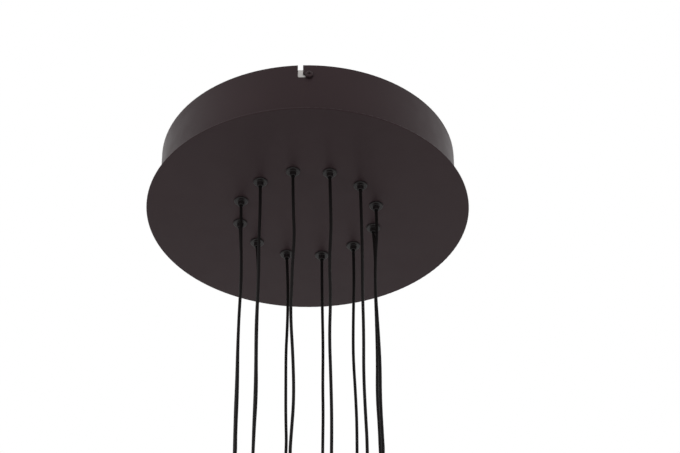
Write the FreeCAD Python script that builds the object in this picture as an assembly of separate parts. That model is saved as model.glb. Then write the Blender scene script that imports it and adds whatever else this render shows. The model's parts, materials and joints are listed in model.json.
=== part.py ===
import FreeCAD, Part
import math
import os

# A round twelve-cord cluster pendant: a drum canopy that twists onto a ceiling bracket, and twelve
# small lamps on thin cords. The origin is on the ceiling at the canopy's centre, +Z points up, and
# the front lock screw is at -Y. Everything hangs below z = 0. Sizes are in millimetres and degrees.

os.makedirs("parts", exist_ok=True)

# Base plate and drum
PLATE_RADIUS = 200.0
PLATE_THICKNESS = 2.0
PLATE_EDGE_ROUND = 0.7
PLATE_LIP = 15.5  # how far the plate stands out past the drum
DRUM_HEIGHT = 79.7
DRUM_WALL = 1.2
DRUM_BEND = 1.2  # inside radius of the bend into the bottom flange
DRUM_FLANGE_WIDTH = 14.0
RIM_GAP = 1.0  # between the drum's rim and the ceiling
RIM_STUD_COUNT = 8

# J-slots in the drum's rim, and the twist that locks them
SLOT_ENTRY_WIDTH = 6.2
SLOT_DEPTH = 19.2
SLOT_LEG_HEIGHT = 5.6
SLOT_CORNER_ROUND = 2.0
SLOT_INNER_ROUND = 0.5
LOCK_TWIST = 3.2

# Ceiling bracket
BAR_WIDTH = 40.0
BAR_THICKNESS = 2.5
BAR_END_GAP = 34.0  # from the end of the bar's full width to the inside of the drum
BAR_FLANGE_DEPTH = 8.0
TAB_WIDTH = 30.0
TAB_BEND = 1.5
TAB_STEP = 5.0  # each end is stepped down from the ceiling before it bends down
TAB_STEP_RUN = 8.0  # along the bar
TAB_STEP_SETBACK = 2.7  # from the end of the bar's full width
TAB_BELOW_SCREW = 7.5
TAB_CLEARANCE = 0.3
FIXING_SPACING = 110.0
FIXING_SLOT_WIDTH = 5.0
FIXING_SLOT_LENGTH = 22.0
CABLE_HOLE_DIAMETER = 20.0
EARTH_SCREW_PLACE = 88.0
EARTH_HEAD_DIAMETER = 8.0
EARTH_HEAD_HEIGHT = 2.4
EARTH_WASHER_DIAMETER = 9.2

# Lock screws
LOCK_SCREW_DIAMETER = 5.0
LOCK_HEAD_DIAMETER = 9.4
LOCK_HEAD_HEIGHT = 2.8
LOCK_WASHER_DIAMETER = 10.0
LOCK_WASHER_THICKNESS = 0.8
CLAMP_GAP = 0.3
HEAD_GAP = 0.05
WELD_NUT_FLATS = 8.0
WELD_NUT_HEIGHT = 4.0
LOCK_SCREW_TIP = 2.5  # past the weld nut
THREAD_CHAMFER = 0.6
HEAD_ROUND_SHARE = 0.7  # of a pan head's height
RECESS_REACH_SHARE = 0.25  # of a pan head's diameter
RECESS_SLOT_SHARE = 0.05  # half a recess arm's width, of the head's diameter
RECESS_DEPTH_SHARE = 0.55  # of a pan head's height

# Fits
THREAD_CLEARANCE = 0.05  # radial, a screw in its thread
STUD_CLEARANCE = 0.3  # radial, a stud or shank in a plain hole
CORD_CLEARANCE = 0.1  # radial, a cord in its bore
PAST = 1.0  # how far a cutter runs past the face that it opens

# Cord grips
GRIP_COUNT = 12
GRIP_RING_RADIUS = 86.2
FIRST_GRIP_ANGLE = 197.6
GRIP_FLANGE_DIAMETER = 17.4
GRIP_FLANGE_THICKNESS = 1.8
GRIP_FLANGE_ROUND = 1.2
GRIP_BOSS_LENGTH = 6.0
GRIP_BOSS_ROOT_DIAMETER = 8.6
GRIP_BOSS_MOUTH_DIAMETER = 7.2
GRIP_MOUTH_ROUND = 0.6
GRIP_ROOT_ROUND = 0.6
GRIP_THREAD_ROUND = 0.4
GRIP_THREAD_DIAMETER = 10.0
GRIP_THREAD_LENGTH = 11.0  # above the plate's underside
GRIP_NUT_FLATS = 14.0
GRIP_NUT_HEIGHT = 3.0
MOUTH_RELIEF_DEPTH = 3.2
MOUTH_CLEARANCE = 0.6  # round the cord, so that it swings without touching

# Cords and lamps
CORD_DIAMETER = 3.7
CORD_JOINT_GAP = 0.3  # between a fixed cord tail and the swinging cord's round end
LAMP_DIAMETER = 22.0
LAMP_LENGTH = 66.0
LAMP_SHOULDER_ROUND = 4.0
LAMP_NECK_DIAMETER = 8.0
LAMP_NECK_LENGTH = 8.0
LAMP_NECK_ROUND = 1.0
LAMP_NECK_FILLET = 1.2
LAMP_RIM_ROUND = 0.5
LAMP_CORD_SEAT = 5.0
LAMP_SEAT_GAP = 0.1  # under the cord's end, in the bottom of its seat
LAMP_POCKET_DEPTH = 16.0
LAMP_WALL = 1.6
LED_RECESS = 1.5
LED_DOME = 1.0
LED_MODULE_CLEARANCE = 0.1

# Studs, nuts and screws inside the canopy
STUD_DIAMETER = 4.0
STUD_LENGTH = 9.0
NUT_FLATS = 7.0
NUT_FLANGE_DIAMETER = 9.0
NUT_FLANGE_THICKNESS = 1.0
NUT_HEIGHT = 4.2
SMALL_SCREW_DIAMETER = 3.0
SMALL_SCREW_LENGTH = 8.0
SMALL_HEAD_DIAMETER = 5.6
SMALL_HEAD_HEIGHT = 1.9

# Distribution board
BOARD_DIAMETER = 104.0
BOARD_THICKNESS = 1.6
BOARD_STANDOFF_HEIGHT = 25.0
BOARD_STANDOFF_FLATS = 6.0
BOARD_STANDOFF_CIRCLE = 28.0
BOARD_STANDOFF_COUNT = 3
STANDOFF_STUD_LENGTH = 6.0
STANDOFF_THREAD_DEPTH = 9.0
CONNECTOR_LENGTH = 12.0
CONNECTOR_WIDTH = 9.0
CONNECTOR_HEIGHT = 8.0
CONNECTOR_LEVER_HEIGHT = 1.5
CONNECTOR_SETBACK = 2.0  # from the board's edge
POWER_CONNECTOR_WIDTH = 14.0
POWER_CONNECTOR_DEPTH = 12.0
POWER_CONNECTOR_HEIGHT = 11.0
POWER_CONNECTOR_ROUND = 1.0

# LED driver
DRIVER_LENGTH = 140.0
DRIVER_HEIGHT = 30.0
DRIVER_CORNER_ROUND = 3.0
DRIVER_COVER_LENGTH = 14.0
DRIVER_RIB_COUNT = 5
DRIVER_RIB_DEPTH = 1.2
DRIVER_EAR_LENGTH = 10.0
DRIVER_EAR_WIDTH = 16.0
EAR_THICKNESS = 2.0
DRIVER_WALL_GAP = 2.0  # from its corners to the drum's flange
DRIVER_GRIP_GAP = 7.2  # from its side to the grips' flanges

# Mains terminal block
TERMINAL_LENGTH = 44.0
TERMINAL_WIDTH = 24.0
TERMINAL_HEIGHT = 20.0
TERMINAL_ROUND = 1.5
TERMINAL_POCKET_DEPTH = 6.0
TERMINAL_EAR_LENGTH = 10.0
TERMINAL_POLES = 3
TERMINAL_WALL_GAP = 14.0
EARTH_STUD_REACH = 34.0  # from the terminal block's last stud

# Leads inside the canopy
LEAD_DIAMETER = 5.0
LEAD_LIFT = 1.0  # between a lead and the plate that it lies along
LEAD_EXIT_HEIGHT = 12.0  # above the plate, clear of the nuts
LEAD_STRAIGHT = 30.0  # out of a box, before the first bend
LEAD_TURN = 22.0
LEAD_SAG = 2.0
MAINS_LEAD_ANGLES = (237.0, 260.0, 284.0)
MAINS_LEAD_FIRST_ANGLE = 216.0
OUTPUT_LEAD_ANGLES = (60.0, 62.0, 66.0)
EARTH_LEAD_DIAMETER = 2.6
EARTH_LEAD_EXIT_HEIGHT = 8.0
EARTH_LEAD_INSET = 6.0
EARTH_LEAD_TURN = 12.0
RING_TERMINAL_DIAMETER = 10.0
RING_TERMINAL_THICKNESS = 1.0
RING_TERMINAL_BARREL = 6.0

# Each cord's route from the middle of its grip's mouth: across in X and Y, and down. Lamps pull the
# cords nearly straight, and what is left of the reel's curl gives each a few long, shallow waves.
CORD_ROUTES = (
    (
        (0, 0, 0), (0.3, 0.4, 50), (1.8, -0.5, 110), (0.2, -1.1, 192), (0.8, 0.4, 270), (0.4, 0.9, 328),
        (0.7, 0.6, 379),
    ),
    (
        (0, 0, 0), (0.2, -0.5, 38), (-1.0, 0.3, 80), (0.1, 1.0, 122), (-2.0, 0.4, 190),
        (-1.2, -0.8, 248), (-0.3, -0.4, 300), (-1.5, 0.5, 356), (-1.7, 0.7, 401),
    ),
    (
        (0, 0, 0), (-0.4, 0.4, 50), (2.2, 0.8, 88), (0.2, -0.4, 130), (0.6, -0.9, 160),
        (-1.5, 0.2, 203), (1.0, 0.9, 262), (2.8, 0.2, 318), (1.4, -0.8, 366), (0.9, -0.9, 413),
    ),
    (
        (0, 0, 0), (-0.4, -0.3, 46), (1.2, 0.6, 78), (-0.8, 1.1, 124), (0.0, 0.2, 178),
        (-2.0, -0.9, 232), (-1.0, -0.4, 290), (0.3, 0.5, 356), (0.1, 0.7, 412),
    ),
    (
        (0, 0, 0), (0.2, 0.5, 42), (0.8, -0.5, 94), (0.5, -1.2, 150), (0.1, 0.1, 212), (-0.6, 1.0, 266),
        (0.8, 0.4, 318), (2.5, -0.4, 362), (2.7, -0.5, 397),
    ),
    (
        (0, 0, 0), (0.1, -0.3, 34), (-2.2, 0.4, 74), (-3.1, 0.8, 120), (-2.4, -0.5, 180),
        (-2.0, -1.0, 228), (-2.6, 0.3, 276), (-0.7, 0.8, 326), (-0.2, 0.9, 373),
    ),
    (
        (0, 0, 0), (0.9, 0.4, 36), (1.4, -0.3, 82), (1.3, -1.0, 132), (2.2, 0.2, 192), (1.7, 0.9, 240),
        (3.1, 0.0, 288), (3.9, -0.3, 345),
    ),
    (
        (0, 0, 0), (0.1, -0.4, 40), (-0.1, 0.5, 82), (-2.4, 0.9, 134), (-2.3, -0.3, 168),
        (-0.4, -1.0, 218), (0.8, 0.2, 266), (1.0, 0.5, 323),
    ),
    (
        (0, 0, 0), (0.3, 0.3, 38), (0.1, -0.6, 84), (0.6, -0.9, 138), (0.3, 0.5, 190), (1.0, 1.0, 230),
        (0.6, 0.1, 270), (0.5, 0.0, 311),
    ),
    (
        (0, 0, 0), (0.9, 0.3, 34), (0.2, -0.4, 76), (0.6, 0.6, 112), (-0.5, 0.9, 142),
        (-0.1, -0.5, 190), (0.8, -0.8, 238), (0.2, 0.1, 282), (0.3, 0.2, 313),
    ),
    (
        (0, 0, 0), (0.1, 0.4, 40), (1.3, -0.4, 86), (0.6, -1.0, 124), (1.1, 0.2, 184), (2.2, 0.9, 222),
        (1.0, 0.3, 276), (0.8, 0.2, 327),
    ),
    (
        (0, 0, 0), (0.8, 0.4, 34), (2.2, -0.6, 78), (1.2, -0.9, 136), (0.5, 0.4, 182), (1.5, 0.9, 226),
        (0.9, -0.2, 280), (1.5, -0.3, 351),
    ),
)

# What the sizes above give
UP = FreeCAD.Vector(0, 0, 1)
ACROSS = FreeCAD.Vector(1, 0, 0)
ALONG = FreeCAD.Vector(0, 1, 0)
RIM_Z = -RIM_GAP
PLATE_TOP = RIM_Z - DRUM_HEIGHT
PLATE_BOTTOM = PLATE_TOP - PLATE_THICKNESS
DRUM_RADIUS = PLATE_RADIUS - PLATE_LIP
DRUM_INSIDE = DRUM_RADIUS - DRUM_WALL
FLANGE_INSIDE = DRUM_INSIDE - DRUM_FLANGE_WIDTH
RIM_STUD_CIRCLE = (DRUM_INSIDE - DRUM_BEND + FLANGE_INSIDE) / 2
SCREW_Z = RIM_Z - SLOT_DEPTH + SLOT_LEG_HEIGHT / 2
BAR_REACH = DRUM_INSIDE - BAR_END_GAP
TAB_FACE = math.sqrt(DRUM_INSIDE**2 - (TAB_WIDTH / 2) ** 2) - TAB_CLEARANCE
MOUTH_Z = PLATE_BOTTOM - GRIP_FLANGE_THICKNESS - GRIP_BOSS_LENGTH
BOARD_BOTTOM = PLATE_TOP + BOARD_STANDOFF_HEIGHT
BOARD_TOP = BOARD_BOTTOM + BOARD_THICKNESS
TAIL_Z = BOARD_TOP + CONNECTOR_HEIGHT / 2
CONNECTOR_FACE = BOARD_DIAMETER / 2 - CONNECTOR_SETBACK
DRIVER_OUTER_X = math.sqrt(FLANGE_INSIDE**2 - (DRIVER_LENGTH / 2) ** 2) - DRIVER_WALL_GAP
DRIVER_INNER_X = GRIP_RING_RADIUS + GRIP_FLANGE_DIAMETER / 2 + DRIVER_GRIP_GAP
DRIVER_WIDTH = DRIVER_OUTER_X - DRIVER_INNER_X
DRIVER_X = (DRIVER_OUTER_X + DRIVER_INNER_X) / 2
DRIVER_STUD_Y = DRIVER_LENGTH / 2 + DRIVER_EAR_LENGTH / 2
TERMINAL_X = -(FLANGE_INSIDE - TERMINAL_WALL_GAP - TERMINAL_WIDTH / 2)
TERMINAL_STUD_Y = TERMINAL_LENGTH / 2 + TERMINAL_EAR_LENGTH / 2


def point(x, y, z):
    return FreeCAD.Vector(x, y, z)


def turned(shape, degrees):
    """A copy turned about the vertical through the canopy's centre."""
    copy = shape.copy()
    copy.rotate(point(0, 0, 0), UP, degrees)
    return copy


def cylinder(radius, low, high, x=0.0, y=0.0):
    return Part.makeCylinder(radius, high - low, point(x, y, low), UP)


def block(x0, x1, y0, y1, z0, z1):
    return Part.makeBox(x1 - x0, y1 - y0, z1 - z0, point(x0, y0, z0))


def hexagon(flats, low, high, x=0.0, y=0.0, turn=0.0):
    corners = []
    for k in range(7):
        a = math.radians(60 * k + turn)
        r = flats / math.sqrt(3)
        corners.append(point(x + r * math.cos(a), y + r * math.sin(a), low))
    return Part.Face(Part.makePolygon(corners)).extrude(point(0, 0, high - low))


def revolved(edges):
    """A solid of revolution about the Z axis from edges drawn in the XZ plane."""
    return Part.Face(Part.Wire(edges)).revolve(point(0, 0, 0), UP, 360)


def outline(corners):
    """Edges in the XZ plane through (x, z, rounding radius) corners, closed."""
    count = len(corners)
    tangents = []
    for k in range(count):
        x, z, radius = corners[k]
        here = point(x, 0, z)
        before = point(corners[k - 1][0], 0, corners[k - 1][1]) - here
        after = point(corners[(k + 1) % count][0], 0, corners[(k + 1) % count][1]) - here
        before.normalize()
        after.normalize()
        if radius == 0:
            tangents.append((here, None, here))
            continue
        half = before.getAngle(after) / 2
        inward = before + after
        inward.normalize()
        centre = here + inward * (radius / math.sin(half))
        step = radius / math.tan(half)
        tangents.append((here + before * step, centre - inward * radius, here + after * step))
    edges = []
    for k in range(count):
        start, middle, end = tangents[k]
        if middle is not None:
            edges.append(Part.Arc(start, middle, end).toShape())
        following = tangents[(k + 1) % count][0]
        if end.distanceToPoint(following) > 1e-6:
            edges.append(Part.LineSegment(end, following).toShape())
    return edges


def rounded_run(points):
    """A wire of straight runs joined by tangent arcs, and the arcs' radii."""
    edges = []
    radii = []
    start = points[0]
    for before, corner, after in zip(points, points[1:], points[2:]):
        back = before - corner
        ahead = after - corner
        shorter = min(back.Length, ahead.Length)
        back.normalize()
        ahead.normalize()
        half_turn = (math.pi - back.getAngle(ahead)) / 2
        step = 0.45 * shorter
        radius = step / math.tan(half_turn)
        radii.append(radius)
        inward = back + ahead
        inward.normalize()
        middle = corner + inward * (radius / math.cos(half_turn) - radius)
        first = corner + back * step
        last = corner + ahead * step
        edges.append(Part.LineSegment(start, first).toShape())
        edges.append(Part.Arc(first, middle, last).toShape())
        start = last
    edges.append(Part.LineSegment(start, points[-1]).toShape())
    return Part.Wire(edges), radii


def tube(name, points, diameter):
    """A round tube along points. Prints its tightest bend, and its volume against section times length."""
    path, radii = rounded_run(points)
    section = Part.Wire(Part.makeCircle(diameter / 2, points[0], points[1] - points[0]))
    solid = path.makePipeShell([section], True, False)
    whole = solid.Volume / (math.pi * diameter**2 / 4 * path.Length)
    bends = ", ".join(f"{r:.0f}" for r in radii)
    print(f"{name}: {path.Length:.1f} long, bend radii {bends}, volume ratio {whole:.4f}")
    return solid


def grip_angle(index):
    return FIRST_GRIP_ANGLE + 360.0 / GRIP_COUNT * index


def mouth(index):
    a = math.radians(grip_angle(index))
    return point(GRIP_RING_RADIUS * math.cos(a), GRIP_RING_RADIUS * math.sin(a), MOUTH_Z)


def ring_of(shape, count, first_angle):
    """Copies of a shape that was made at +X, turned to their places round the centre."""
    return [turned(shape, first_angle + 360.0 / count * k) for k in range(count)]


def rim_stud_places():
    places = []
    for k in range(RIM_STUD_COUNT):
        a = math.radians(360.0 / RIM_STUD_COUNT * (k + 0.5))
        places.append((RIM_STUD_CIRCLE * math.cos(a), RIM_STUD_CIRCLE * math.sin(a)))
    return places


def standoff_places():
    places = []
    for k in range(BOARD_STANDOFF_COUNT):
        a = math.radians(360.0 / BOARD_STANDOFF_COUNT * k)
        places.append((BOARD_STANDOFF_CIRCLE * math.cos(a), BOARD_STANDOFF_CIRCLE * math.sin(a)))
    return places


DRIVER_STUDS = ((DRIVER_X, -DRIVER_STUD_Y), (DRIVER_X, DRIVER_STUD_Y))
TERMINAL_STUDS = ((TERMINAL_X, -TERMINAL_STUD_Y), (TERMINAL_X, TERMINAL_STUD_Y))
EARTH_STUD = (TERMINAL_X, TERMINAL_STUD_Y + EARTH_STUD_REACH)


def save(name, shape):
    shape.exportStep(f"parts/{name}.step")
    print(name, len(shape.Solids), "solids, valid", shape.isValid(), f"{shape.Volume:.0f} mm3")


# Ceiling bracket


def bracket_tab():
    """The end that steps down and then bends down beside the drum's wall, with its weld nut, at +Y."""
    outer = TAB_BEND + BAR_THICKNESS
    low = SCREW_Z - TAB_BELOW_SCREW
    start = BAR_REACH - BAR_THICKNESS
    step_top = BAR_REACH + TAB_STEP_SETBACK
    step_foot = step_top + TAB_STEP_RUN
    shift = BAR_THICKNESS * math.tan(math.atan2(TAB_STEP, TAB_STEP_RUN) / 2)
    strip = outline(
        [
            (start, 0, 0),
            (step_top, 0, outer),
            (step_foot, -TAB_STEP, TAB_BEND),
            (TAB_FACE, -TAB_STEP, outer),
            (TAB_FACE, low, 0),
            (TAB_FACE - BAR_THICKNESS, low, 0),
            (TAB_FACE - BAR_THICKNESS, -TAB_STEP - BAR_THICKNESS, TAB_BEND),
            (step_foot - shift, -TAB_STEP - BAR_THICKNESS, outer),
            (step_top - shift, -BAR_THICKNESS, TAB_BEND),
            (start, -BAR_THICKNESS, 0),
        ]
    )
    tab = Part.Face(Part.Wire(strip)).extrude(point(0, TAB_WIDTH, 0))
    nut = hexagon(WELD_NUT_FLATS, 0, WELD_NUT_HEIGHT, turn=30)
    nut.rotate(point(0, 0, 0), ALONG, -90)
    nut.translate(point(TAB_FACE - BAR_THICKNESS, TAB_WIDTH / 2, SCREW_Z))
    thread = Part.makeCylinder(
        LOCK_SCREW_DIAMETER / 2 + THREAD_CLEARANCE,
        BAR_THICKNESS + WELD_NUT_HEIGHT + 2 * PAST,
        point(TAB_FACE + PAST, TAB_WIDTH / 2, SCREW_Z),
        point(-1, 0, 0),
    )
    tab = tab.fuse(nut).cut(thread)
    tab.translate(point(0, -TAB_WIDTH / 2, 0))
    return turned(tab, 90)


def fixing_slot(y):
    """A slot that runs along the bar, centred on its screw's place."""
    radius = FIXING_SLOT_WIDTH / 2
    reach = FIXING_SLOT_LENGTH / 2 - radius
    low = -BAR_THICKNESS - PAST
    slot = block(-radius, radius, y - reach, y + reach, low, PAST)
    for end in (y - reach, y + reach):
        slot = slot.fuse(cylinder(radius, low, PAST, 0, end))
    return slot


def ceiling_bracket():
    half = BAR_WIDTH / 2
    bar = block(-half, half, -BAR_REACH, BAR_REACH, -BAR_THICKNESS, 0)
    for x in (-half, half - BAR_THICKNESS):
        flange = block(x, x + BAR_THICKNESS, -BAR_REACH, BAR_REACH, -BAR_FLANGE_DEPTH, -BAR_THICKNESS)
        bar = bar.fuse(flange)
    tab = bracket_tab()
    bar = bar.fuse([tab, turned(tab, 180)])
    low = -BAR_THICKNESS - PAST
    bar = bar.cut(cylinder(CABLE_HOLE_DIAMETER / 2, low, PAST))
    for side in (-1, 1):
        bar = bar.cut(fixing_slot(side * FIXING_SPACING / 2))
    hole = cylinder(STUD_DIAMETER / 2 + THREAD_CLEARANCE, low, PAST, 0, EARTH_SCREW_PLACE)
    return bar.cut(hole).removeSplitter()


def pan_head(diameter, height):
    """A pan head with a cross recess, its seat at z = 0 and its top at z = height."""
    radius = diameter / 2
    rounding = height * HEAD_ROUND_SHARE
    head = revolved(outline([(0, 0, 0), (radius, 0, 0), (radius, height, rounding), (0, height, 0)]))
    arm = diameter * RECESS_REACH_SHARE
    bar = diameter * RECESS_SLOT_SHARE
    floor = height * (1 - RECESS_DEPTH_SHARE)
    head = head.cut(block(-arm, arm, -bar, bar, floor, height + PAST))
    return head.cut(block(-bar, bar, -arm, arm, floor, height + PAST))


def earth_screw():
    seat = -BAR_THICKNESS - RING_TERMINAL_THICKNESS
    head = pan_head(EARTH_HEAD_DIAMETER, EARTH_HEAD_HEIGHT)
    shank = cylinder(STUD_DIAMETER / 2, seat + CLAMP_GAP, 0)
    screw = head.fuse(shank)
    screw.rotate(point(0, 0, 0), ACROSS, 180)
    screw.translate(point(0, EARTH_SCREW_PLACE, seat))
    washer = cylinder(EARTH_WASHER_DIAMETER / 2, seat, -BAR_THICKNESS, 0, EARTH_SCREW_PLACE)
    bore = STUD_DIAMETER / 2 + THREAD_CLEARANCE
    washer = washer.cut(cylinder(bore, seat - PAST, 0, 0, EARTH_SCREW_PLACE))
    return Part.Compound([screw, washer])


# Lock screws and washers, made pointing outwards along +Z from the canopy's axis


def outward(shape, front):
    """Lays a shape made along +Z so that it points outwards at the lock screw's height."""
    shape = shape.copy()
    shape.rotate(point(0, 0, 0), ACROSS, 90 if front else -90)
    shape.translate(point(0, 0, SCREW_Z))
    return shape


def lock_washer():
    low = DRUM_RADIUS + CLAMP_GAP
    high = low + LOCK_WASHER_THICKNESS
    ring = cylinder(LOCK_WASHER_DIAMETER / 2, low, high)
    return ring.cut(cylinder(LOCK_SCREW_DIAMETER / 2 + STUD_CLEARANCE, low - PAST, high + PAST))


def lock_screw():
    seat = DRUM_RADIUS + CLAMP_GAP + LOCK_WASHER_THICKNESS + HEAD_GAP
    tip = TAB_FACE - BAR_THICKNESS - WELD_NUT_HEIGHT - LOCK_SCREW_TIP
    head = pan_head(LOCK_HEAD_DIAMETER, LOCK_HEAD_HEIGHT)
    head.translate(point(0, 0, seat))
    radius = LOCK_SCREW_DIAMETER / 2
    shank = outline(
        [
            (0, tip, 0),
            (radius - THREAD_CHAMFER, tip, 0),
            (radius, tip + THREAD_CHAMFER, 0),
            (radius, seat, 0),
            (0, seat, 0),
        ]
    )
    return head.fuse(revolved(shank))


# Canopy


def j_slot():
    """The cutter for the front slot: down from the rim beside the screw, then across to it."""
    entry = -DRUM_RADIUS * math.sin(math.radians(LOCK_TWIST))
    left = entry - SLOT_ENTRY_WIDTH / 2
    right = entry + SLOT_ENTRY_WIDTH / 2
    end = SLOT_LEG_HEIGHT / 2
    floor = RIM_Z - SLOT_DEPTH
    roof = floor + SLOT_LEG_HEIGHT
    edges = outline(
        [
            (left, RIM_Z + PAST, 0),
            (left, floor, SLOT_CORNER_ROUND),
            (end, floor, end),
            (end, roof, end),
            (right, roof, SLOT_INNER_ROUND),
            (right, RIM_Z + PAST, 0),
        ]
    )
    face = Part.Face(Part.Wire(edges))
    cutter = face.extrude(point(0, 4 * DRUM_WALL + 2 * PAST, 0))
    cutter.translate(point(0, -DRUM_RADIUS - PAST, 0))
    return cutter


def canopy_drum():
    outer_bend = DRUM_BEND + DRUM_WALL
    edges = outline(
        [
            (DRUM_INSIDE, RIM_Z, 0),
            (DRUM_RADIUS, RIM_Z, 0),
            (DRUM_RADIUS, PLATE_TOP, outer_bend),
            (FLANGE_INSIDE, PLATE_TOP, 0),
            (FLANGE_INSIDE, PLATE_TOP + DRUM_WALL, 0),
            (DRUM_INSIDE, PLATE_TOP + DRUM_WALL, DRUM_BEND),
        ]
    )
    drum = revolved(edges)
    slot = j_slot()
    drum = drum.cut([slot, turned(slot, 180)])
    radius = STUD_DIAMETER / 2 + STUD_CLEARANCE
    holes = []
    for x, y in rim_stud_places():
        holes.append(cylinder(radius, PLATE_TOP - PAST, PLATE_TOP + DRUM_WALL + PAST, x, y))
    return drum.cut(holes)


def base_plate():
    """The disc with its welded studs."""
    edges = outline(
        [
            (0, PLATE_BOTTOM, 0),
            (PLATE_RADIUS, PLATE_BOTTOM, PLATE_EDGE_ROUND),
            (PLATE_RADIUS, PLATE_TOP, PLATE_EDGE_ROUND),
            (0, PLATE_TOP, 0),
        ]
    )
    plate = revolved(edges)
    radius = GRIP_THREAD_DIAMETER / 2 + STUD_CLEARANCE
    hole = cylinder(radius, PLATE_BOTTOM - PAST, PLATE_TOP + PAST, GRIP_RING_RADIUS, 0)
    plate = plate.cut(ring_of(hole, GRIP_COUNT, FIRST_GRIP_ANGLE))
    raised = []
    for x, y in (*rim_stud_places(), *DRIVER_STUDS, *TERMINAL_STUDS, EARTH_STUD):
        raised.append(cylinder(STUD_DIAMETER / 2, PLATE_TOP, PLATE_TOP + STUD_LENGTH, x, y))
    for x, y in standoff_places():
        raised.append(cylinder(SMALL_SCREW_DIAMETER / 2, PLATE_TOP, PLATE_TOP + STANDOFF_STUD_LENGTH, x, y))
    return plate.fuse(raised)


def board_standoffs():
    """Hexagonal posts, threaded at the foot for the plate's studs and at the top for the board's screws."""
    bore = SMALL_SCREW_DIAMETER / 2 + THREAD_CLEARANCE
    posts = []
    for x, y in standoff_places():
        post = hexagon(BOARD_STANDOFF_FLATS, PLATE_TOP, BOARD_BOTTOM, x, y)
        foot = cylinder(bore, PLATE_TOP - PAST, PLATE_TOP + STANDOFF_THREAD_DEPTH, x, y)
        top = cylinder(bore, BOARD_BOTTOM - STANDOFF_THREAD_DEPTH, BOARD_BOTTOM + PAST, x, y)
        posts.append(post.cut([foot, top]))
    return Part.Compound(posts)


def flange_nut(x, y, seat):
    nut = cylinder(NUT_FLANGE_DIAMETER / 2, seat, seat + NUT_FLANGE_THICKNESS, x, y)
    nut = nut.fuse(hexagon(NUT_FLATS, seat, seat + NUT_HEIGHT, x, y))
    bore = STUD_DIAMETER / 2 + THREAD_CLEARANCE
    return nut.cut(cylinder(bore, seat - PAST, seat + NUT_HEIGHT + PAST, x, y))


def flange_nuts():
    nuts = [flange_nut(x, y, PLATE_TOP + DRUM_WALL) for x, y in rim_stud_places()]
    nuts += [flange_nut(x, y, PLATE_TOP + EAR_THICKNESS) for x, y in (*DRIVER_STUDS, *TERMINAL_STUDS)]
    nuts.append(flange_nut(*EARTH_STUD, PLATE_TOP + RING_TERMINAL_THICKNESS))
    return Part.Compound(nuts)


# Cord grips


def cord_grip():
    """A turned grip at +X: a domed flange, a tapered boss below and a threaded neck above."""
    bore = CORD_DIAMETER / 2 + CORD_CLEARANCE
    relief = CORD_DIAMETER / 2 + MOUTH_CLEARANCE
    seat = PLATE_BOTTOM
    low = seat - GRIP_FLANGE_THICKNESS
    top = seat + GRIP_THREAD_LENGTH
    edges = outline(
        [
            (bore, top, 0),
            (GRIP_THREAD_DIAMETER / 2, top, GRIP_THREAD_ROUND),
            (GRIP_THREAD_DIAMETER / 2, seat, 0),
            (GRIP_FLANGE_DIAMETER / 2, seat, 0),
            (GRIP_FLANGE_DIAMETER / 2, low, GRIP_FLANGE_ROUND),
            (GRIP_BOSS_ROOT_DIAMETER / 2, low, GRIP_ROOT_ROUND),
            (GRIP_BOSS_MOUTH_DIAMETER / 2, MOUTH_Z, GRIP_MOUTH_ROUND),
            (relief, MOUTH_Z, GRIP_THREAD_ROUND),
            (relief, MOUTH_Z + MOUTH_RELIEF_DEPTH, 0),
            (bore, MOUTH_Z + MOUTH_RELIEF_DEPTH, 0),
        ]
    )
    grip = revolved(edges)
    grip.translate(point(GRIP_RING_RADIUS, 0, 0))
    return grip


def grip_locknut():
    top = PLATE_TOP + GRIP_NUT_HEIGHT
    nut = hexagon(GRIP_NUT_FLATS, PLATE_TOP, top, GRIP_RING_RADIUS, 0)
    bore = GRIP_THREAD_DIAMETER / 2 + THREAD_CLEARANCE
    return nut.cut(cylinder(bore, PLATE_TOP - PAST, top + PAST, GRIP_RING_RADIUS, 0))


def cord_tail():
    """The fixed end of a cord at +X: up through its grip and over to its connector."""
    start = MOUTH_Z + CORD_DIAMETER / 2 + CORD_JOINT_GAP
    route = [
        point(GRIP_RING_RADIUS, 0, start),
        point(GRIP_RING_RADIUS, 0, TAIL_Z),
        point(CONNECTOR_FACE, 0, TAIL_Z),
    ]
    return tube("cord tail", route, CORD_DIAMETER)


# Board, driver and terminal block


def distribution_board():
    board = cylinder(BOARD_DIAMETER / 2, BOARD_BOTTOM, BOARD_TOP)
    radius = SMALL_SCREW_DIAMETER / 2 + CORD_CLEARANCE
    for x, y in standoff_places():
        board = board.cut(cylinder(radius, BOARD_BOTTOM - PAST, BOARD_TOP + PAST, x, y))
    return board


def pan_screw(x, y, seat):
    head = pan_head(SMALL_HEAD_DIAMETER, SMALL_HEAD_HEIGHT)
    head.translate(point(x, y, seat))
    return head.fuse(cylinder(SMALL_SCREW_DIAMETER / 2, seat - SMALL_SCREW_LENGTH, seat, x, y))


def pan_screws():
    """The small screws: three through the board, and one in each of the driver's end covers."""
    screws = [pan_screw(x, y, BOARD_TOP) for x, y in standoff_places()]
    for side in (-1, 1):
        y = side * (DRIVER_LENGTH / 2 - DRIVER_COVER_LENGTH / 2)
        screws.append(pan_screw(DRIVER_X, y, PLATE_TOP + DRIVER_HEIGHT))
    return Part.Compound(screws)


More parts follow.
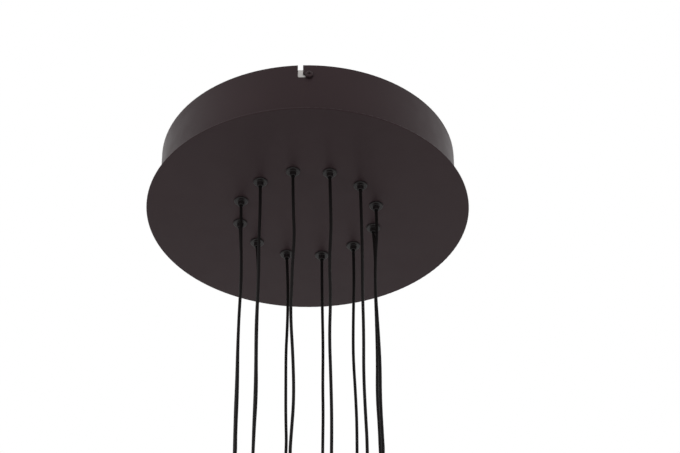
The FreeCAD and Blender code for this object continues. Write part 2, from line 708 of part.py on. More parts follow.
def cord_connector():
    """A push-in connector at +X whose mouth takes the cord tail's end."""
    body = block(
        CONNECTOR_FACE - CONNECTOR_LENGTH,
        CONNECTOR_FACE,
        -CONNECTOR_WIDTH / 2,
        CONNECTOR_WIDTH / 2,
        BOARD_TOP,
        BOARD_TOP + CONNECTOR_HEIGHT,
    )
    lever = block(
        CONNECTOR_FACE - CONNECTOR_LENGTH,
        CONNECTOR_FACE - CONNECTOR_LENGTH / 2,
        -CONNECTOR_WIDTH / 4,
        CONNECTOR_WIDTH / 4,
        BOARD_TOP + CONNECTOR_HEIGHT,
        BOARD_TOP + CONNECTOR_HEIGHT + CONNECTOR_LEVER_HEIGHT,
    )
    return body.fuse(lever)


def power_connector():
    """The connector in the middle of the board, with its wire entry in its back face."""
    half = POWER_CONNECTOR_WIDTH / 2
    reach = POWER_CONNECTOR_DEPTH / 2
    body = block(-half, half, -reach, reach, BOARD_TOP, BOARD_TOP + POWER_CONNECTOR_HEIGHT)
    return body.makeFillet(POWER_CONNECTOR_ROUND, [e for e in body.Edges if abs(e.tangentAt(0).z) > 0.9])


def driver_section(y0, y1):
    """The driver's rounded section between two places along Y, standing on the plate."""
    half = DRIVER_WIDTH / 2
    edges = outline(
        [
            (DRIVER_X - half, PLATE_TOP, 0),
            (DRIVER_X + half, PLATE_TOP, 0),
            (DRIVER_X + half, PLATE_TOP + DRIVER_HEIGHT, DRIVER_CORNER_ROUND),
            (DRIVER_X - half, PLATE_TOP + DRIVER_HEIGHT, DRIVER_CORNER_ROUND),
        ]
    )
    section = Part.Face(Part.Wire(edges)).extrude(point(0, y1 - y0, 0))
    section.translate(point(0, y0, 0))
    return section


def led_driver():
    reach = DRIVER_LENGTH / 2 - DRIVER_COVER_LENGTH
    case = driver_section(-reach, reach)
    pitch = (DRIVER_WIDTH - 4 * DRIVER_CORNER_ROUND) / DRIVER_RIB_COUNT
    top = PLATE_TOP + DRIVER_HEIGHT
    for k in range(DRIVER_RIB_COUNT):
        x = DRIVER_X + (k - (DRIVER_RIB_COUNT - 1) / 2) * pitch
        groove = block(x - pitch / 4, x + pitch / 4, -reach, reach, top - DRIVER_RIB_DEPTH, top + PAST)
        case = case.cut(groove)
    return case


def driver_end_cover(front):
    """An end cover with its ear on the plate's stud and the lead's entry in its end wall."""
    outer = DRIVER_LENGTH / 2
    cover = driver_section(outer - DRIVER_COVER_LENGTH, outer)
    ear = block(
        DRIVER_X - DRIVER_EAR_WIDTH / 2,
        DRIVER_X + DRIVER_EAR_WIDTH / 2,
        outer,
        outer + DRIVER_EAR_LENGTH,
        PLATE_TOP,
        PLATE_TOP + EAR_THICKNESS,
    )
    cover = cover.fuse(ear)
    radius = STUD_DIAMETER / 2 + STUD_CLEARANCE
    ear_top = PLATE_TOP + EAR_THICKNESS
    cover = cover.cut(cylinder(radius, PLATE_TOP - PAST, ear_top + PAST, DRIVER_X, DRIVER_STUD_Y))
    top = PLATE_TOP + DRIVER_HEIGHT
    thread = SMALL_SCREW_DIAMETER / 2 + THREAD_CLEARANCE
    screw_y = outer - DRIVER_COVER_LENGTH / 2
    cover = cover.cut(cylinder(thread, top - SMALL_SCREW_LENGTH, top + PAST, DRIVER_X, screw_y))
    if front:
        cover = cover.mirror(point(0, 0, 0), ALONG)
    return cover


def terminal_pole_places():
    pitch = TERMINAL_LENGTH / TERMINAL_POLES
    return [(k - (TERMINAL_POLES - 1) / 2) * pitch for k in range(TERMINAL_POLES)]


def mains_terminal_block():
    half = TERMINAL_WIDTH / 2
    reach = TERMINAL_LENGTH / 2
    top = PLATE_TOP + TERMINAL_HEIGHT
    body = block(TERMINAL_X - half, TERMINAL_X + half, -reach, reach, PLATE_TOP, top)
    body = body.makeFillet(TERMINAL_ROUND, [e for e in body.Edges if abs(e.CenterOfMass.z - top) < 0.1])
    ear_top = PLATE_TOP + EAR_THICKNESS
    ear_reach = reach + TERMINAL_EAR_LENGTH
    ears = block(TERMINAL_X - half / 2, TERMINAL_X + half / 2, -ear_reach, ear_reach, PLATE_TOP, ear_top)
    body = body.fuse(ears)
    radius = STUD_DIAMETER / 2 + STUD_CLEARANCE
    for x, y in TERMINAL_STUDS:
        body = body.cut(cylinder(radius, PLATE_TOP - PAST, ear_top + PAST, x, y))
    pocket = SMALL_HEAD_DIAMETER / 2 + CORD_CLEARANCE
    for y in terminal_pole_places():
        body = body.cut(cylinder(pocket, top - TERMINAL_POCKET_DEPTH, top + PAST, TERMINAL_X, y))
    return body


def terminal_screws():
    floor = PLATE_TOP + TERMINAL_HEIGHT - TERMINAL_POCKET_DEPTH
    screws = []
    for y in terminal_pole_places():
        head = pan_head(SMALL_HEAD_DIAMETER, 2 * SMALL_HEAD_HEIGHT)
        head.translate(point(TERMINAL_X, y, floor))
        screws.append(head)
    return Part.Compound(screws)


# Leads inside the canopy

LEAD_Z = PLATE_TOP + LEAD_DIAMETER / 2 + LEAD_LIFT
LEAD_EXIT_Z = PLATE_TOP + LEAD_EXIT_HEIGHT
DRIVER_LEAD_X = DRIVER_X - DRIVER_EAR_WIDTH / 2 - 1.2 * LEAD_DIAMETER


def on_circle(radius, degrees, z):
    a = math.radians(degrees)
    return point(radius * math.cos(a), radius * math.sin(a), z)


def mains_lead():
    """From the terminal block round the front of the grips to the driver's front end."""
    start_y = -TERMINAL_LENGTH / 2
    end_y = -DRIVER_LENGTH / 2
    radius = -TERMINAL_X - LEAD_SAG
    high = LEAD_Z + LEAD_SAG
    route = [
        point(TERMINAL_X, start_y, LEAD_EXIT_Z),
        point(TERMINAL_X, start_y - LEAD_STRAIGHT, LEAD_EXIT_Z),
        on_circle(radius, MAINS_LEAD_FIRST_ANGLE, high),
        *[on_circle(radius, degrees, LEAD_Z) for degrees in MAINS_LEAD_ANGLES],
        point(DRIVER_LEAD_X - 1.5 * LEAD_TURN, end_y - LEAD_STRAIGHT - LEAD_TURN, LEAD_Z),
        point(DRIVER_LEAD_X, end_y - LEAD_STRAIGHT, high),
        point(DRIVER_LEAD_X, end_y, high),
    ]
    return tube("mains lead", route, LEAD_DIAMETER)


def output_lead():
    """From the driver's back end over the cord tails to the board's middle."""
    start_y = DRIVER_LENGTH / 2
    end_y = POWER_CONNECTOR_DEPTH / 2
    low = LEAD_Z + LEAD_SAG
    entry = BOARD_TOP + POWER_CONNECTOR_HEIGHT / 2
    over = BOARD_TOP + CONNECTOR_HEIGHT + CONNECTOR_LEVER_HEIGHT + 2 * LEAD_DIAMETER
    outer, middle, inner = OUTPUT_LEAD_ANGLES
    route = [
        point(DRIVER_LEAD_X, start_y, low),
        point(DRIVER_LEAD_X, start_y + LEAD_STRAIGHT, low),
        point(DRIVER_LEAD_X - LEAD_TURN, start_y + LEAD_STRAIGHT + LEAD_TURN, low + LEAD_DIAMETER),
        on_circle(GRIP_RING_RADIUS + 2 * GRIP_FLANGE_DIAMETER, outer, (low + over) / 2),
        on_circle(GRIP_RING_RADIUS, middle, over),
        on_circle(BOARD_DIAMETER / 2 + LEAD_DIAMETER, inner, over),
        point(LEAD_DIAMETER, end_y + 5 * LEAD_DIAMETER, over - LEAD_DIAMETER),
        point(0, end_y + 3 * LEAD_DIAMETER, entry),
        point(0, end_y, entry),
    ]
    return tube("output lead", route, LEAD_DIAMETER)


def earth_lead():
    """From the terminal block to the ring terminal on the plate's earth stud."""
    x, y = EARTH_STUD
    ring_top = PLATE_TOP + RING_TERMINAL_THICKNESS
    ring = cylinder(RING_TERMINAL_DIAMETER / 2, PLATE_TOP, ring_top, x, y)
    hole = cylinder(STUD_DIAMETER / 2 + CORD_CLEARANCE, PLATE_TOP - PAST, ring_top + PAST, x, y)
    barrel_x = x + NUT_FLANGE_DIAMETER / 2 + STUD_CLEARANCE
    barrel_z = PLATE_TOP + EARTH_LEAD_DIAMETER / 2
    barrel_start = point(barrel_x, y, barrel_z)
    barrel = Part.makeCylinder(EARTH_LEAD_DIAMETER / 2, RING_TERMINAL_BARREL, barrel_start, ACROSS)
    terminal = ring.fuse(barrel).cut(hole)
    side = TERMINAL_X + TERMINAL_WIDTH / 2
    far = side + 2 * EARTH_LEAD_TURN
    start_y = TERMINAL_LENGTH / 2 - EARTH_LEAD_INSET
    level = PLATE_TOP + EARTH_LEAD_EXIT_HEIGHT
    end_x = barrel_x + RING_TERMINAL_BARREL
    route = [
        point(side, start_y, level),
        point(side + EARTH_LEAD_TURN, start_y, level),
        point(far, start_y + EARTH_LEAD_TURN, level - EARTH_LEAD_DIAMETER / 2),
        point(far, y - EARTH_LEAD_TURN, barrel_z + EARTH_LEAD_DIAMETER),
        point(end_x + EARTH_LEAD_TURN, y, barrel_z),
        point(end_x, y, barrel_z),
    ]
    return Part.Compound([tube("earth lead", route, EARTH_LEAD_DIAMETER), terminal])


# Pendants


def cord(index):
    """A swinging cord: a round end at its grip's mouth, and a flat end in its lamp's neck."""
    top = mouth(index)
    route = [top + point(x, y, -down) for x, y, down in CORD_ROUTES[index]]
    solid = tube(f"cord {index + 1:02d}", route, CORD_DIAMETER)
    return solid.fuse(Part.makeSphere(CORD_DIAMETER / 2, top))


def cord_end(index):
    x, y, down = CORD_ROUTES[index][-1]
    return mouth(index) + point(x, y, -down)


def lamp_head():
    """A turned lamp body whose neck's top is at z = 0."""
    bore = CORD_DIAMETER / 2 + CORD_CLEARANCE
    radius = LAMP_DIAMETER / 2
    shoulder = -LAMP_NECK_LENGTH
    low = shoulder - LAMP_LENGTH
    pocket = radius - LAMP_WALL
    edges = outline(
        [
            (0, -LAMP_CORD_SEAT - LAMP_SEAT_GAP, 0),
            (bore, -LAMP_CORD_SEAT - LAMP_SEAT_GAP, 0),
            (bore, 0, 0),
            (LAMP_NECK_DIAMETER / 2, 0, LAMP_NECK_ROUND),
            (LAMP_NECK_DIAMETER / 2, shoulder, LAMP_NECK_FILLET),
            (radius, shoulder, LAMP_SHOULDER_ROUND),
            (radius, low, LAMP_RIM_ROUND),
            (pocket, low, LAMP_RIM_ROUND),
            (pocket, low + LAMP_POCKET_DEPTH, 0),
            (0, low + LAMP_POCKET_DEPTH, 0),
        ]
    )
    return revolved(edges)


def led_module():
    """The light source that fills the lamp's pocket: board and opal front moulded as one."""
    radius = LAMP_DIAMETER / 2 - LAMP_WALL - LED_MODULE_CLEARANCE
    top = -LAMP_NECK_LENGTH - LAMP_LENGTH + LAMP_POCKET_DEPTH
    low = top - LAMP_POCKET_DEPTH + LED_RECESS
    tip = point(0, 0, low)
    rim = point(radius, 0, low + LED_DOME)
    side = point(radius, 0, top)
    back = point(0, 0, top)
    dome = Part.Arc(tip, point(radius / 2, 0, low + LED_DOME / 4), rim).toShape()
    straight = [Part.LineSegment(a, b).toShape() for a, b in ((rim, side), (side, back), (back, tip))]
    return revolved([dome, *straight])


save("ceiling_bracket", ceiling_bracket())
save("bracket_earth_screw", earth_screw())
for side, is_front in (("front", True), ("back", False)):
    save(f"lock_washer_{side}", outward(lock_washer(), is_front))
    save(f"lock_screw_{side}", outward(lock_screw(), is_front))
save("canopy_drum", canopy_drum())
save("base_plate", base_plate())
save("board_standoffs", board_standoffs())
save("flange_nuts", flange_nuts())
save("cord_grips", Part.Compound(ring_of(cord_grip(), GRIP_COUNT, FIRST_GRIP_ANGLE)))
save("grip_locknuts", Part.Compound(ring_of(grip_locknut(), GRIP_COUNT, FIRST_GRIP_ANGLE)))
save("cord_tails", Part.Compound(ring_of(cord_tail(), GRIP_COUNT, FIRST_GRIP_ANGLE)))
save("distribution_board", distribution_board())
save("pan_screws", pan_screws())
save("cord_connectors", Part.Compound(ring_of(cord_connector(), GRIP_COUNT, FIRST_GRIP_ANGLE)))
save("power_connector", power_connector())
save("led_driver", led_driver())
save("driver_end_covers", Part.Compound([driver_end_cover(True), driver_end_cover(False)]))
save("mains_terminal_block", mains_terminal_block())
save("terminal_screws", terminal_screws())
save("mains_lead", mains_lead())
save("output_lead", output_lead())
save("earth_lead", earth_lead())

for index in range(GRIP_COUNT):
    number = f"{index + 1:02d}"
    neck_top = cord_end(index) + point(0, 0, LAMP_CORD_SEAT)
    head = lamp_head()
    head.translate(neck_top)
    module = led_module()
    module.translate(neck_top)
    save(f"cord_{number}", cord(index))
    save(f"lamp_head_{number}", head)
    save(f"led_module_{number}", module)
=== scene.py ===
import json
import math

import bpy
from mathutils import Matrix, Vector


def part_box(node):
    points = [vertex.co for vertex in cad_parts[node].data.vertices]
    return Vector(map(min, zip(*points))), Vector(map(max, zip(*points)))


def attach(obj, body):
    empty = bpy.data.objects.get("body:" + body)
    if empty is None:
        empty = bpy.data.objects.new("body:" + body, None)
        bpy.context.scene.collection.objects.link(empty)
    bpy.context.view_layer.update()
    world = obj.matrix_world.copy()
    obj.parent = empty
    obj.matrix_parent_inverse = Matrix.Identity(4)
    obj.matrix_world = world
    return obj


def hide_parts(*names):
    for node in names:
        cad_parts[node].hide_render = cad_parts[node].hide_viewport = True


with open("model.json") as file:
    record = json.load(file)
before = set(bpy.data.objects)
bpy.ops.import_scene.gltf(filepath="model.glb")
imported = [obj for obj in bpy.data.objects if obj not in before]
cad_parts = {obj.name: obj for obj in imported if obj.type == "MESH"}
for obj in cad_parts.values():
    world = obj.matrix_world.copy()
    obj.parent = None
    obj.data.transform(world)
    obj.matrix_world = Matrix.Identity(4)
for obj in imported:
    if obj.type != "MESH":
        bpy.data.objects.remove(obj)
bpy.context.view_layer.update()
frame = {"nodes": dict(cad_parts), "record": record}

# Lengths are in metres: z = 0 is the ceiling, +Z is up, and the front lock screw is at -Y

# The ring of grips that the cords hang from
GRIP_COUNT = 12
GRIP_RING_RADIUS = 0.0862
FIRST_GRIP_ANGLE = math.radians(197.6)
CORD_DIAMETER = 0.0037
CORD_ROUNDNESS = 6
CORD_SMOOTHNESS = 24

# Where each cord goes from the middle of its grip's mouth: across in X and Y, and down.
# Each point is within 3 mm of the CAD cord's route, moved to the cord that is seen
CORD_ROUTES = (
    (
        (0.0, 0.0, 0.0), (0.0011, 0.0004, 0.05), (0.0029, -0.0005, 0.11), (0.0009, -0.0011, 0.192),
        (0.0024, 0.0004, 0.27), (0.0016, 0.0009, 0.328), (0.0023, 0.0007, 0.354), (0.0007, 0.0006, 0.379),
    ),
    (
        (0.0, 0.0, 0.0), (0.0006, -0.0005, 0.038), (-0.0004, 0.0003, 0.08), (0.0006, 0.001, 0.122),
        (-0.0004, 0.0004, 0.19), (-0.0002, -0.0008, 0.248), (0.0011, -0.0004, 0.3),
        (-0.0011, 0.0005, 0.356), (-0.0017, 0.0007, 0.401),
    ),
    (
        (0.0, 0.0, 0.0), (0.0006, 0.0004, 0.05), (0.0026, 0.0008, 0.088), (0.0005, -0.0004, 0.13),
        (0.0, -0.0009, 0.16), (-0.0013, 0.0002, 0.203), (0.0022, 0.0009, 0.262),
        (0.0037, 0.0002, 0.318), (0.0009, -0.0008, 0.366), (-0.0003, -0.0007, 0.39),
        (0.0009, -0.0009, 0.413),
    ),
    (
        (0.0, 0.0, 0.0), (0.0008, -0.0003, 0.046), (0.0013, 0.0006, 0.078),
        (-0.001, 0.0011, 0.124), (0.0004, 0.0002, 0.178), (-0.0013, -0.0009, 0.232),
        (0.0002, -0.0004, 0.29), (0.0012, 0.0005, 0.356), (0.0001, 0.0007, 0.412),
    ),
    (
        (0.0, 0.0, 0.0), (0.0007, 0.0005, 0.042), (0.0011, -0.0005, 0.094),
        (0.0005, -0.0012, 0.15), (0.0012, 0.0001, 0.212), (0.0003, 0.001, 0.266),
        (0.0016, 0.0004, 0.318), (0.0032, -0.0004, 0.362), (0.0027, -0.0005, 0.397),
    ),
    (
        (0.0, 0.0, 0.0), (0.0006, -0.0003, 0.034), (-0.0022, 0.0004, 0.074),
        (-0.0031, 0.0008, 0.12), (-0.0007, -0.0005, 0.18), (0.0007, -0.001, 0.228),
        (0.0001, 0.0003, 0.276), (0.0016, 0.0008, 0.326), (0.0024, 0.0009, 0.35),
        (-0.0002, 0.0009, 0.373),
    ),
    (
        (0.0, 0.0, 0.0), (0.0022, 0.0004, 0.036), (0.0008, -0.0003, 0.082),
        (0.0014, -0.001, 0.132), (0.0017, 0.0002, 0.192), (0.0004, 0.0009, 0.24),
        (0.0023, 0.0, 0.288), (0.0026, -0.0001, 0.318), (0.0039, -0.0003, 0.345),
    ),
    (
        (0.0, 0.0, 0.0), (0.0005, -0.0004, 0.04), (-0.0006, 0.0005, 0.082),
        (-0.0017, 0.0009, 0.134), (-0.0017, -0.0003, 0.168), (0.0004, -0.001, 0.218),
        (0.0017, 0.0002, 0.266), (0.001, 0.0005, 0.323),
    ),
    (
        (0.0, 0.0, 0.0), (0.0001, 0.0003, 0.038), (0.0006, -0.0006, 0.084),
        (0.0014, -0.0009, 0.138), (0.0009, 0.0005, 0.19), (0.0014, 0.001, 0.23),
        (0.0009, 0.0001, 0.27), (0.0005, 0.0, 0.311),
    ),
    (
        (0.0, 0.0, 0.0), (0.0016, 0.0003, 0.034), (0.002, -0.0004, 0.076),
        (0.0014, 0.0006, 0.112), (0.0003, 0.0009, 0.142), (0.0006, -0.0005, 0.19),
        (0.001, -0.0008, 0.238), (0.0025, 0.0001, 0.282), (0.0003, 0.0002, 0.313),
    ),
    (
        (0.0, 0.0, 0.0), (0.0013, 0.0003, 0.018), (0.0025, 0.0004, 0.04), (0.0018, -0.0004, 0.086),
        (0.001, -0.001, 0.124), (0.0018, 0.0002, 0.184), (0.0017, 0.0009, 0.222),
        (0.0009, 0.0003, 0.276), (0.0008, 0.0002, 0.327),
    ),
    (
        (0.0, 0.0, 0.0), (0.002, 0.0004, 0.034), (0.0036, -0.0006, 0.078),
        (0.0019, -0.0009, 0.136), (0.0013, 0.0004, 0.182), (0.0014, 0.0009, 0.226),
        (0.0008, -0.0002, 0.28), (0.0015, -0.0003, 0.351),
    ),
)

# The camera, with angles in radians: they and the lens fit the disc's outline and the ring of grips
CAMERA_DISTANCE = 2.4850
CAMERA_BELOW = 0.6630
CAMERA_TURN = math.radians(-0.25)
CAMERA_PAN = -0.01612
CAMERA_TILT = -0.00608
CAMERA_ROLL = -0.0045
FOCAL_LENGTH_PIXELS = 2000.0
PICTURE_WIDTH_PIXELS = 680.0
SENSOR_WIDTH_MM = 36.0
NEAREST_SEEN = 0.05
FARTHEST_SEEN = 60.0

# The room
WHITE = (1, 1, 1, 1)
FLOOR_Z = -4.4
FLOOR_SIZE = 24.0
# Glow that only the camera and mirrors see, so that the floor meets the white room
FLOOR_WHITENING = 0.50
WORLD_STRENGTH = 0.75
BACKDROP_STRENGTH = 1.0
LAMP_SIZE = 1.6
KEY_SPOT = (-2.2, -1.8, -1.2)
KEY_WATTS = 18.0
FILL_SPOT = (2.4, -1.2, 0.3)
FILL_WATTS = 8.0

# A noise texture's fineness, and the two values that most of it lies between
NOISE_DETAIL = 3.0
NOISE_LOW = 0.3
NOISE_HIGH = 0.7

nodes = frame["nodes"]
# The middle of the plate's underside, which the camera and the lamps are placed around
PLATE_MIDDLE = Vector((0, 0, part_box("base_plate")[0].z))
MOUTH_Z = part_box("cord_grips")[0].z


def link(obj):
    """Puts the object in the scene."""
    bpy.context.scene.collection.objects.link(obj)
    return obj


# Materials


def add(material, kind, **inputs):
    """A shader node with its inputs set by name."""
    made = material.node_tree.nodes.new(kind)
    for key, value in inputs.items():
        made.inputs[key.replace("_", " ")].default_value = value
    return made


def connect(material, source, output, target, socket):
    """Joins one node's output to another's input."""
    material.node_tree.links.new(source.outputs[output], target.inputs[socket])


def place(material, stretch):
    """Texture coordinates in metres, fixed to the piece."""
    coordinates = add(material, "ShaderNodeTexCoord")
    mapping = add(material, "ShaderNodeMapping")
    mapping.inputs["Scale"].default_value = stretch
    connect(material, coordinates, "Object", mapping, "Vector")
    return mapping


def noise(material, size, stretch=(1, 1, 1)):
    """A noise whose patches are about this size, in metres."""
    made = add(material, "ShaderNodeTexNoise", Scale=1.0 / size, Detail=NOISE_DETAIL)
    connect(material, place(material, stretch), "Vector", made, "Vector")
    return made


def between(material, texture, low, high):
    """A number that drifts from low to high with the noise."""
    made = add(
        material,
        "ShaderNodeMapRange",
        From_Min=NOISE_LOW,
        From_Max=NOISE_HIGH,
        To_Min=low,
        To_Max=high,
    )
    connect(material, texture, "Fac", made, "Value")
    return made


def finish(
    name,
    light,
    dark,
    blotch,
    roughness,
    grain,
    depth,
    stretch=(1, 1, 1),
    **constants,
):
    """A surface whose colour drifts between two shades, with uneven gloss and a fine relief.

    Blotch and grain are the sizes of the colour's patches and of the relief, and depth is its height.
    """
    material = bpy.data.materials.new(name)
    material.use_nodes = True
    shader = material.node_tree.nodes["Principled BSDF"]
    for key, value in constants.items():
        shader.inputs[key.replace("_", " ")].default_value = value
    shades = add(material, "ShaderNodeMix")
    shades.data_type = "RGBA"
    shades.inputs["A"].default_value = (*dark, 1)
    shades.inputs["B"].default_value = (*light, 1)
    shares = between(material, noise(material, blotch), 0.0, 1.0)
    connect(material, shares, "Result", shades, "Factor")
    connect(material, shades, "Result", shader, "Base Color")
    gloss = between(material, noise(material, blotch / 4, stretch), *roughness)
    connect(material, gloss, "Result", shader, "Roughness")
    relief = add(material, "ShaderNodeBump", Distance=depth)
    connect(material, noise(material, grain, stretch), "Fac", relief, "Height")
    connect(material, relief, "Normal", shader, "Normal")
    return material


finishes = {
    "bronze_coat": finish(
        "bronze powder coat",
        light=(0.0265, 0.0168, 0.0185),
        dark=(0.0232, 0.0149, 0.0164),
        blotch=0.09,
        roughness=(0.40, 0.47),
        grain=0.0009,
        depth=0.000015,
        Specular_IOR_Level=0.165,
        Specular_Tint=(1.0, 0.72, 0.76, 1.0),
    ),
    "dark_fitting": finish(
        "black satin nylon",
        light=(0.0110, 0.0085, 0.0088),
        dark=(0.0080, 0.0063, 0.0066),
        blotch=0.004,
        roughness=(0.30, 0.38),
        grain=0.0005,
        depth=0.00001,
        Specular_IOR_Level=0.24,
    ),
    "zinc_steel": finish(
        "zinc plated sheet",
        light=(0.50, 0.48, 0.465),
        dark=(0.42, 0.405, 0.395),
        blotch=0.012,
        roughness=(0.34, 0.48),
        grain=0.0012,
        depth=0.00002,
        stretch=(1, 0.15, 1),
        Metallic=0.9,
    ),
    "black_screw": finish(
        "bronze painted screw",
        light=(0.0240, 0.0155, 0.0170),
        dark=(0.0200, 0.0130, 0.0145),
        blotch=0.003,
        roughness=(0.38, 0.48),
        grain=0.0006,
        depth=0.00001,
        Specular_IOR_Level=0.24,
        Specular_Tint=(1.0, 0.72, 0.76, 1.0),
    ),
    "cord_black": finish(
        "black cord sheath",
        light=(0.0062, 0.0050, 0.0050),
        dark=(0.0044, 0.0036, 0.0036),
        blotch=0.02,
        roughness=(0.50, 0.62),
        grain=0.0008,
        depth=0.00002,
        stretch=(1, 1, 0.2),
        Specular_IOR_Level=0.12,
    ),
    "lamp_metal": finish(
        "turned lamp body",
        light=(0.030, 0.023, 0.022),
        dark=(0.024, 0.019, 0.018),
        blotch=0.02,
        roughness=(0.34, 0.42),
        grain=0.0007,
        depth=0.00001,
        stretch=(1, 1, 6),
        Specular_IOR_Level=0.35,
    ),
    "opal": finish(
        "opal light cover",
        light=(0.93, 0.91, 0.87),
        dark=(0.88, 0.86, 0.82),
        blotch=0.008,
        roughness=(0.18, 0.26),
        grain=0.002,
        depth=0.00001,
        Subsurface_Weight=0.25,
        Subsurface_Scale=0.004,
    ),
    "driver_case": finish(
        "driver case",
        light=(0.80, 0.80, 0.78),
        dark=(0.74, 0.74, 0.72),
        blotch=0.04,
        roughness=(0.45, 0.58),
        grain=0.0008,
        depth=0.00003,
    ),
    "board_green": finish(
        "green board lacquer",
        light=(0.045, 0.24, 0.11),
        dark=(0.03, 0.17, 0.08),
        blotch=0.006,
        roughness=(0.22, 0.34),
        grain=0.002,
        depth=0.00003,
    ),
    "connector_white": finish(
        "white connector",
        light=(0.85, 0.85, 0.83),
        dark=(0.80, 0.80, 0.77),
        blotch=0.01,
        roughness=(0.35, 0.45),
        grain=0.0006,
        depth=0.00001,
    ),
    "terminal_plastic": finish(
        "terminal block polyamide",
        light=(0.82, 0.80, 0.74),
        dark=(0.76, 0.74, 0.67),
        blotch=0.01,
        roughness=(0.38, 0.5),
        grain=0.0007,
        depth=0.00002,
        Subsurface_Weight=0.1,
        Subsurface_Scale=0.003,
    ),
    "brass_screw": finish(
        "brass",
        light=(0.74, 0.58, 0.29),
        dark=(0.62, 0.46, 0.22),
        blotch=0.003,
        roughness=(0.25, 0.4),
        grain=0.0005,
        depth=0.00001,
        Metallic=1.0,
    ),
    "lead_grey": finish(
        "white lead sheath",
        light=(0.76, 0.76, 0.75),
        dark=(0.70, 0.70, 0.69),
        blotch=0.02,
        roughness=(0.42, 0.55),
        grain=0.0008,
        depth=0.00002,
    ),
    "earth_green": finish(
        "green lead insulation",
        light=(0.22, 0.46, 0.10),
        dark=(0.16, 0.38, 0.08),
        blotch=0.01,
        roughness=(0.4, 0.5),
        grain=0.0007,
        depth=0.00002,
    ),
}


def paint(obj, slot):
    """Gives a piece the finish of its material slot."""
    obj.data.materials.clear()
    obj.data.materials.append(finishes[slot])


for subpart in frame["record"]["subparts"]:
    paint(nodes[subpart["node"]], subpart["material_slot"])


# Cords


def mouth(index):
    """The middle of a grip's mouth."""
    angle = FIRST_GRIP_ANGLE + math.tau / GRIP_COUNT * index
    return Vector((GRIP_RING_RADIUS * math.cos(angle), GRIP_RING_RADIUS * math.sin(angle), MOUTH_Z))


def cord(index):
    """A hanging cord: one smooth line along its route, from the grip to the lamp."""
    top = mouth(index)
    curve = bpy.data.curves.new(f"hanging_cord_{index + 1:02d}", "CURVE")
    curve.dimensions = "3D"
    curve.bevel_depth = CORD_DIAMETER / 2
    curve.bevel_resolution = CORD_ROUNDNESS
    curve.resolution_u = CORD_SMOOTHNESS
    curve.use_fill_caps = True
    spline = curve.splines.new("NURBS")
    route = CORD_ROUTES[index]
    spline.points.add(len(route) - 1)
    for control, (x, y, down) in zip(spline.points, route):
        control.co = (top.x + x, top.y + y, top.z - down, 1)
    spline.order_u = 3
    spline.use_endpoint_u = True
    return link(bpy.data.objects.new(curve.name, curve))


for index in range(GRIP_COUNT):
    number = f"{index + 1:02d}"
    piece = cord(index)
    piece.data.materials.append(finishes["cord_black"])
    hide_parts(f"cord_{number}")
    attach(piece, f"pendant_{number}")


# The camera


def photograph_camera():
    """The camera, in front of the canopy and below it, turned by small angles to aim and level it."""
    away = Vector((0, -math.cos(CAMERA_BELOW), -math.sin(CAMERA_BELOW))) * CAMERA_DISTANCE
    ahead = -away.normalized()
    right = Vector((1, 0, 0))
    up = right.cross(ahead)
    pan = Matrix.Rotation(CAMERA_PAN, 3, up)
    ahead = pan @ ahead
    right = pan @ right
    tilt = Matrix.Rotation(CAMERA_TILT, 3, right)
    ahead = tilt @ ahead
    up = tilt @ up
    roll = Matrix.Rotation(CAMERA_ROLL, 3, ahead)
    right = roll @ right
    up = roll @ up
    turn = Matrix.Rotation(CAMERA_TURN, 3, "Z")
    facing = turn @ Matrix((right, up, -ahead)).transposed()
    camera = link(bpy.data.objects.new("camera", bpy.data.cameras.new("camera")))
    camera.matrix_world = Matrix.Translation(turn @ away + PLATE_MIDDLE) @ facing.to_4x4()
    camera.data.lens = FOCAL_LENGTH_PIXELS * SENSOR_WIDTH_MM / PICTURE_WIDTH_PIXELS
    camera.data.sensor_width = SENSOR_WIDTH_MM
    camera.data.clip_start = NEAREST_SEEN
    camera.data.clip_end = FARTHEST_SEEN
    bpy.context.scene.camera = camera


photograph_camera()


# The room: white all round, with large soft lamps


def seen_rays(tree):
    """1 for what the camera, a mirror or a clear piece sees, and 0 for what lights the object."""
    path = tree.nodes.new("ShaderNodeLightPath")
    seen = path.outputs["Is Camera Ray"]
    for ray in ("Is Glossy Ray", "Is Transmission Ray"):
        either = tree.nodes.new("ShaderNodeMath")
        either.operation = "MAXIMUM"
        tree.links.new(seen, either.inputs[0])
        tree.links.new(path.outputs[ray], either.inputs[1])
        seen = either.outputs["Value"]
    return seen


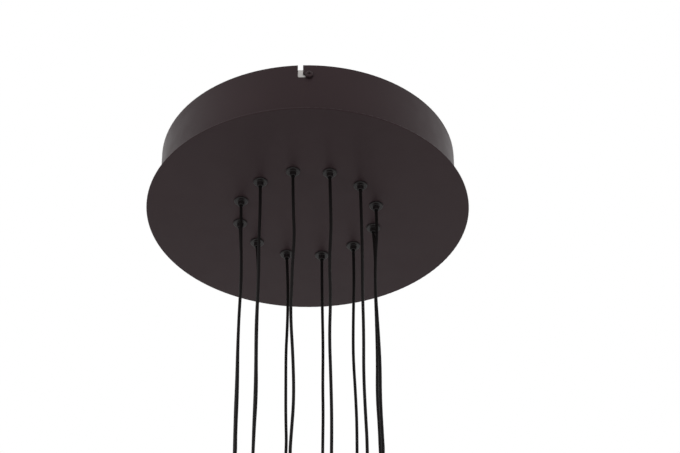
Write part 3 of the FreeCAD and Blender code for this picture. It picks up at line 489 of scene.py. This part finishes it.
def room():
    """The world: white to look at, and a little dimmer as a light."""
    world = bpy.data.worlds.new("room")
    bpy.context.scene.world = world
    world.use_nodes = True
    tree = world.node_tree
    light = tree.nodes["Background"]
    light.inputs["Color"].default_value = WHITE
    light.inputs["Strength"].default_value = WORLD_STRENGTH
    backdrop = tree.nodes.new("ShaderNodeBackground")
    backdrop.inputs["Color"].default_value = WHITE
    backdrop.inputs["Strength"].default_value = BACKDROP_STRENGTH
    choice = tree.nodes.new("ShaderNodeMixShader")
    tree.links.new(seen_rays(tree), choice.inputs["Fac"])
    tree.links.new(light.outputs["Background"], choice.inputs[1])
    tree.links.new(backdrop.outputs["Background"], choice.inputs[2])
    tree.links.new(choice.outputs["Shader"], tree.nodes["World Output"].inputs["Surface"])


def floor():
    """A pale floor far below, which keeps the object's shadow."""
    half = FLOOR_SIZE / 2
    mesh = bpy.data.meshes.new("floor")
    corners = [
        (-half, -half, FLOOR_Z),
        (half, -half, FLOOR_Z),
        (half, half, FLOOR_Z),
        (-half, half, FLOOR_Z),
    ]
    mesh.from_pydata(corners, [], [(0, 1, 2, 3)])
    obj = link(bpy.data.objects.new("floor", mesh))
    pale = finish(
        "pale floor",
        light=(0.66, 0.66, 0.66),
        dark=(0.64, 0.64, 0.64),
        blotch=0.8,
        roughness=(0.6, 0.7),
        grain=0.01,
        depth=0.00002,
        Specular_IOR_Level=0.2,
    )
    shader = pale.node_tree.nodes["Principled BSDF"]
    shader.inputs["Emission Color"].default_value = WHITE
    whiter = add(pale, "ShaderNodeMapRange", To_Max=FLOOR_WHITENING)
    pale.node_tree.links.new(seen_rays(pale.node_tree), whiter.inputs["Value"])
    connect(pale, whiter, "Result", shader, "Emission Strength")
    mesh.materials.append(pale)


def soft_lamp(name, spot, watts):
    """A large square lamp that faces the canopy."""
    light = bpy.data.lights.new(name, "AREA")
    light.shape = "SQUARE"
    light.size = LAMP_SIZE
    light.energy = watts
    lamp = link(bpy.data.objects.new(name, light))
    lamp.location = spot
    lamp.rotation_euler = (PLATE_MIDDLE - lamp.location).to_track_quat("-Z", "Y").to_euler()
    lamp.visible_camera = False
    lamp.visible_glossy = False


room()
floor()
soft_lamp("key_lamp", KEY_SPOT, KEY_WATTS)
soft_lamp("fill_lamp", FILL_SPOT, FILL_WATTS)

bpy.context.scene.view_settings.view_transform = "Standard"
